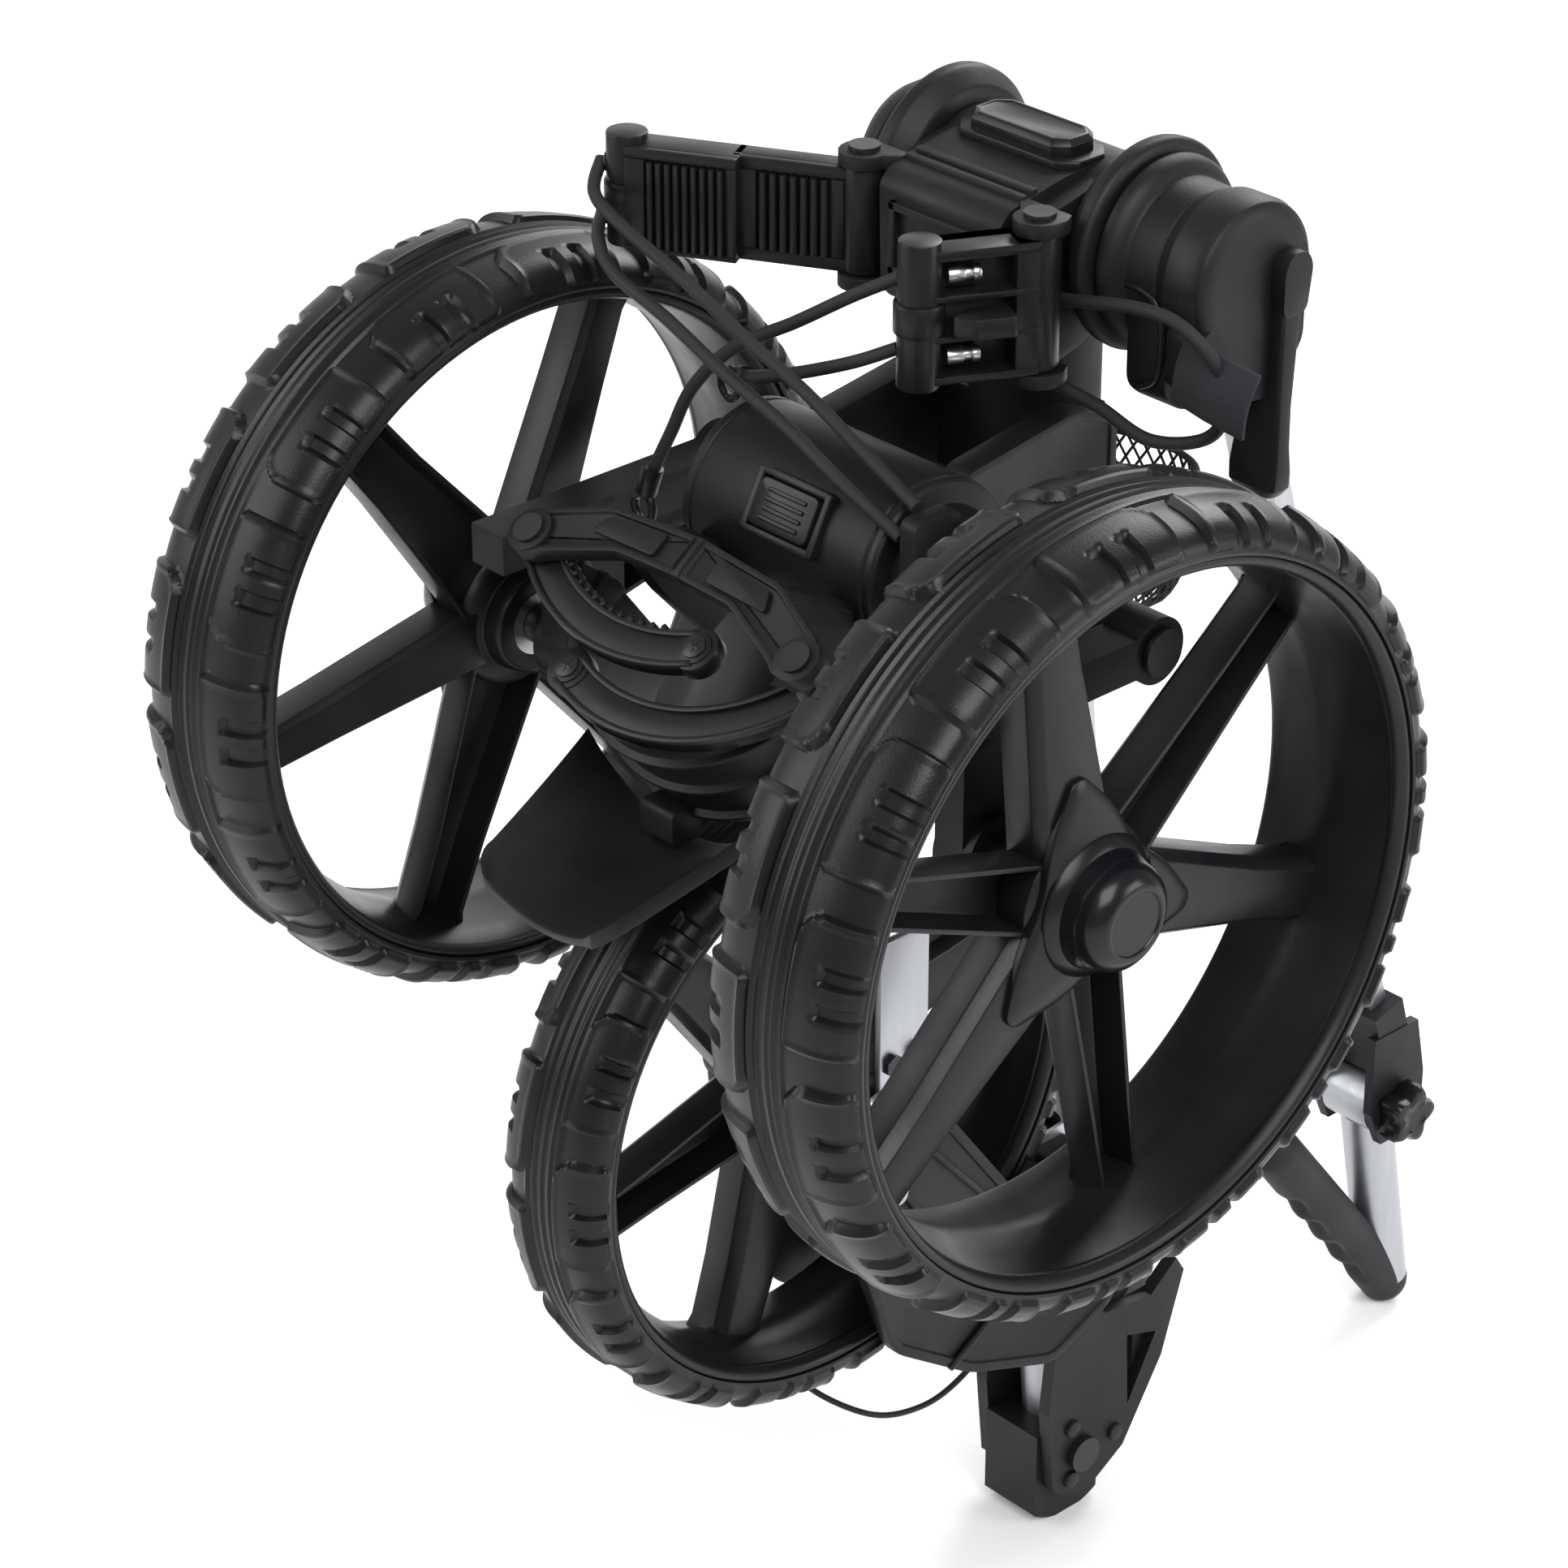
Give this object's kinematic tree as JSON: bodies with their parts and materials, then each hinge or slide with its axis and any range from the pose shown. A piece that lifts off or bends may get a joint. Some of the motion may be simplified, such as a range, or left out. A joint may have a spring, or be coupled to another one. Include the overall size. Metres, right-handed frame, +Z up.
{
  "type": "golf push cart",
  "caption": "Folded three-wheel golf push cart standing on its knee foot and handle, with bag brackets, elastic cords, brake lever and spoked wheels.",
  "frame": {"origin": "on the surface that the folded cart stands on, under the middle of its box", "axes": "+X across the cart to its right rear wheel, +Y to the folded handle, +Z up from the standing surface"},
  "size_m": [0.382, 0.538, 0.629],
  "materials": {
    "black_plastic": "moulded, satin",
    "soft_black": "moulded, fine grain",
    "gloss_black": "semi-gloss",
    "silver_tube": "anodised, satin",
    "steel": "machined",
    "tyre_rubber": "dull",
    "cord_rubber": "dull",
    "net_fabric": "woven net"
  },
  "bodies": {
    "frame": {"spine_tube": "silver_tube", "knee_casting": "black_plastic", "knee_pin": "steel", "leg_shaft": "steel", "post_sleeve": "black_plastic", "console_body": "black_plastic", "console_shaft": "steel", "console_cap_left": "black_plastic", "console_end_right": "black_plastic", "lever_pin": "steel", "axle_housing": "black_plastic", "housing_bracket": "black_plastic", "lower_bracket_plate": "black_plastic", "bag_base": "black_plastic", "bag_rest": "black_plastic", "bracket_pins": "steel", "net_pouch": "net_fabric", "bungee_left": "cord_rubber", "bungee_middle": "cord_rubber", "bungee_right": "cord_rubber"},
    "push_button": {"push_button": "gloss_black"},
    "brake_lever": {"brake_lever": "black_plastic"},
    "latch_button": {"latch_button": "gloss_black"},
    "lower_arm_left": {"lower_arm_left": "black_plastic", "arm_screws_left": "steel"},
    "lower_arm_right": {"lower_arm_right": "black_plastic", "arm_screws_right": "steel"},
    "upper_arm_left": {"upper_arm_left": "black_plastic", "upper_pads_left": "soft_black"},
    "upper_arm_right": {"upper_arm_right": "black_plastic", "cord_crimps": "steel"},
    "rear_leg_left": {"rear_leg_left": "black_plastic", "axle_left": "steel"},
    "rear_leg_right": {"rear_leg_right": "black_plastic", "axle_right": "steel"},
    "rear_wheel_left": {"rim_left": "soft_black", "tyre_left": "tyre_rubber", "hub_cap_left": "gloss_black", "bearings_left": "steel"},
    "rear_wheel_right": {"rim_right": "soft_black", "tyre_right": "tyre_rubber", "hub_cap_right": "gloss_black", "bearings_right": "steel"},
    "front_arm": {"lower_tube": "silver_tube", "knee_foot": "black_plastic", "front_fork": "black_plastic", "fork_bars": "silver_tube", "fork_bolts": "steel", "front_axle": "steel", "brake_cable": "soft_black"},
    "front_wheel": {"rim_front": "soft_black", "tyre_front": "tyre_rubber", "hub_caps_front": "gloss_black", "bearings_front": "steel"},
    "handle": {"handle_yoke": "black_plastic", "handle_strut": "silver_tube", "handle_bracket": "black_plastic"},
    "handle_loop": {"handle_tube": "silver_tube", "handle_grip": "cord_rubber"},
    "handle_knob": {"handle_knob": "gloss_black"}
  },
  "joints": [
    {"name": "front_arm_fold", "type": "hinge", "parent": "frame", "child": "front_arm", "pos_m": [0, 0.039, 0.033], "axis": [1, 0, 0], "range_deg": [0, 150]},
    {"name": "front_wheel_spin", "type": "hinge", "parent": "front_arm", "child": "front_wheel", "pos_m": [0, -0.102, 0.27], "axis": [1, 0, 0], "continuous": true},
    {"name": "rear_leg_right_fold", "type": "hinge", "parent": "frame", "child": "rear_leg_right", "pos_m": [0.109, -0.039, 0.474], "axis": [1, 0, 0], "range_deg": [0, 60]},
    {"name": "rear_leg_left_fold", "type": "hinge", "parent": "frame", "child": "rear_leg_left", "pos_m": [-0.109, -0.039, 0.474], "axis": [1, 0, 0], "range_deg": [0, 60]},
    {"name": "rear_wheel_right_spin", "type": "hinge", "parent": "rear_leg_right", "child": "rear_wheel_right", "pos_m": [0.158, -0.117, 0.42], "axis": [1, 0, 0], "continuous": true},
    {"name": "rear_wheel_left_spin", "type": "hinge", "parent": "rear_leg_left", "child": "rear_wheel_left", "pos_m": [-0.158, -0.117, 0.42], "axis": [1, 0, 0], "continuous": true},
    {"name": "handle_fold", "type": "hinge", "parent": "frame", "child": "handle", "pos_m": [0, 0.021, 0.594], "axis": [1, 0, 0], "range_deg": [0, 135]},
    {"name": "handle_loop_tilt", "type": "hinge", "parent": "handle", "child": "handle_loop", "pos_m": [0, 0.237, 0.118], "axis": [1, 0, 0], "range_deg": [-5, 30]},
    {"name": "handle_knob_turn", "type": "hinge", "parent": "handle", "child": "handle_knob", "pos_m": [0.024, 0.237, 0.118], "axis": [1, 0, 0], "range_deg": [-360, 360]},
    {"name": "push_button_press", "type": "slide", "parent": "frame", "child": "push_button", "axis": [0, 0, -1], "range_m": [0, 0.003], "stiffness_N_per_m": 900, "springref_m": -0.001},
    {"name": "latch_button_press", "type": "slide", "parent": "frame", "child": "latch_button", "axis": [0, 0.8829, -0.4695], "range_m": [0, 0.003], "stiffness_N_per_m": 900, "springref_m": -0.001},
    {"name": "brake_lever_squeeze", "type": "hinge", "parent": "frame", "child": "brake_lever", "pos_m": [0.099, 0.035, 0.596], "axis": [1, 0, 0], "range_deg": [0, 20], "stiffness_Nm_per_rad": 1.5, "springref_deg": -11.46},
    {"name": "upper_arm_left_swing", "type": "hinge", "parent": "frame", "child": "upper_arm_left", "pos_m": [-0.045, -0.03, 0.59], "axis": [0, 0, 1], "range_deg": [-15, 40], "deforming": ["bungee_left"]},
    {"name": "upper_arm_right_swing", "type": "hinge", "parent": "frame", "child": "upper_arm_right", "pos_m": [0.045, -0.03, 0.585], "axis": [0, 0, 1], "range_deg": [0, 88], "deforming": ["bungee_middle", "bungee_right"]},
    {"name": "lower_arm_left_swing", "type": "hinge", "parent": "frame", "child": "lower_arm_left", "pos_m": [-0.071, -0.165, 0.49], "axis": [0, -0.6, 0.8], "range_deg": [-95, 0]},
    {"name": "lower_arm_right_swing", "type": "hinge", "parent": "frame", "child": "lower_arm_right", "pos_m": [0.071, -0.165, 0.49], "axis": [0, -0.6, 0.8], "range_deg": [0, 95]}
  ],
  "couplings": [
    {"joint": "rear_leg_left_fold", "follows": "rear_leg_right_fold", "ratio": 1}
  ]
}
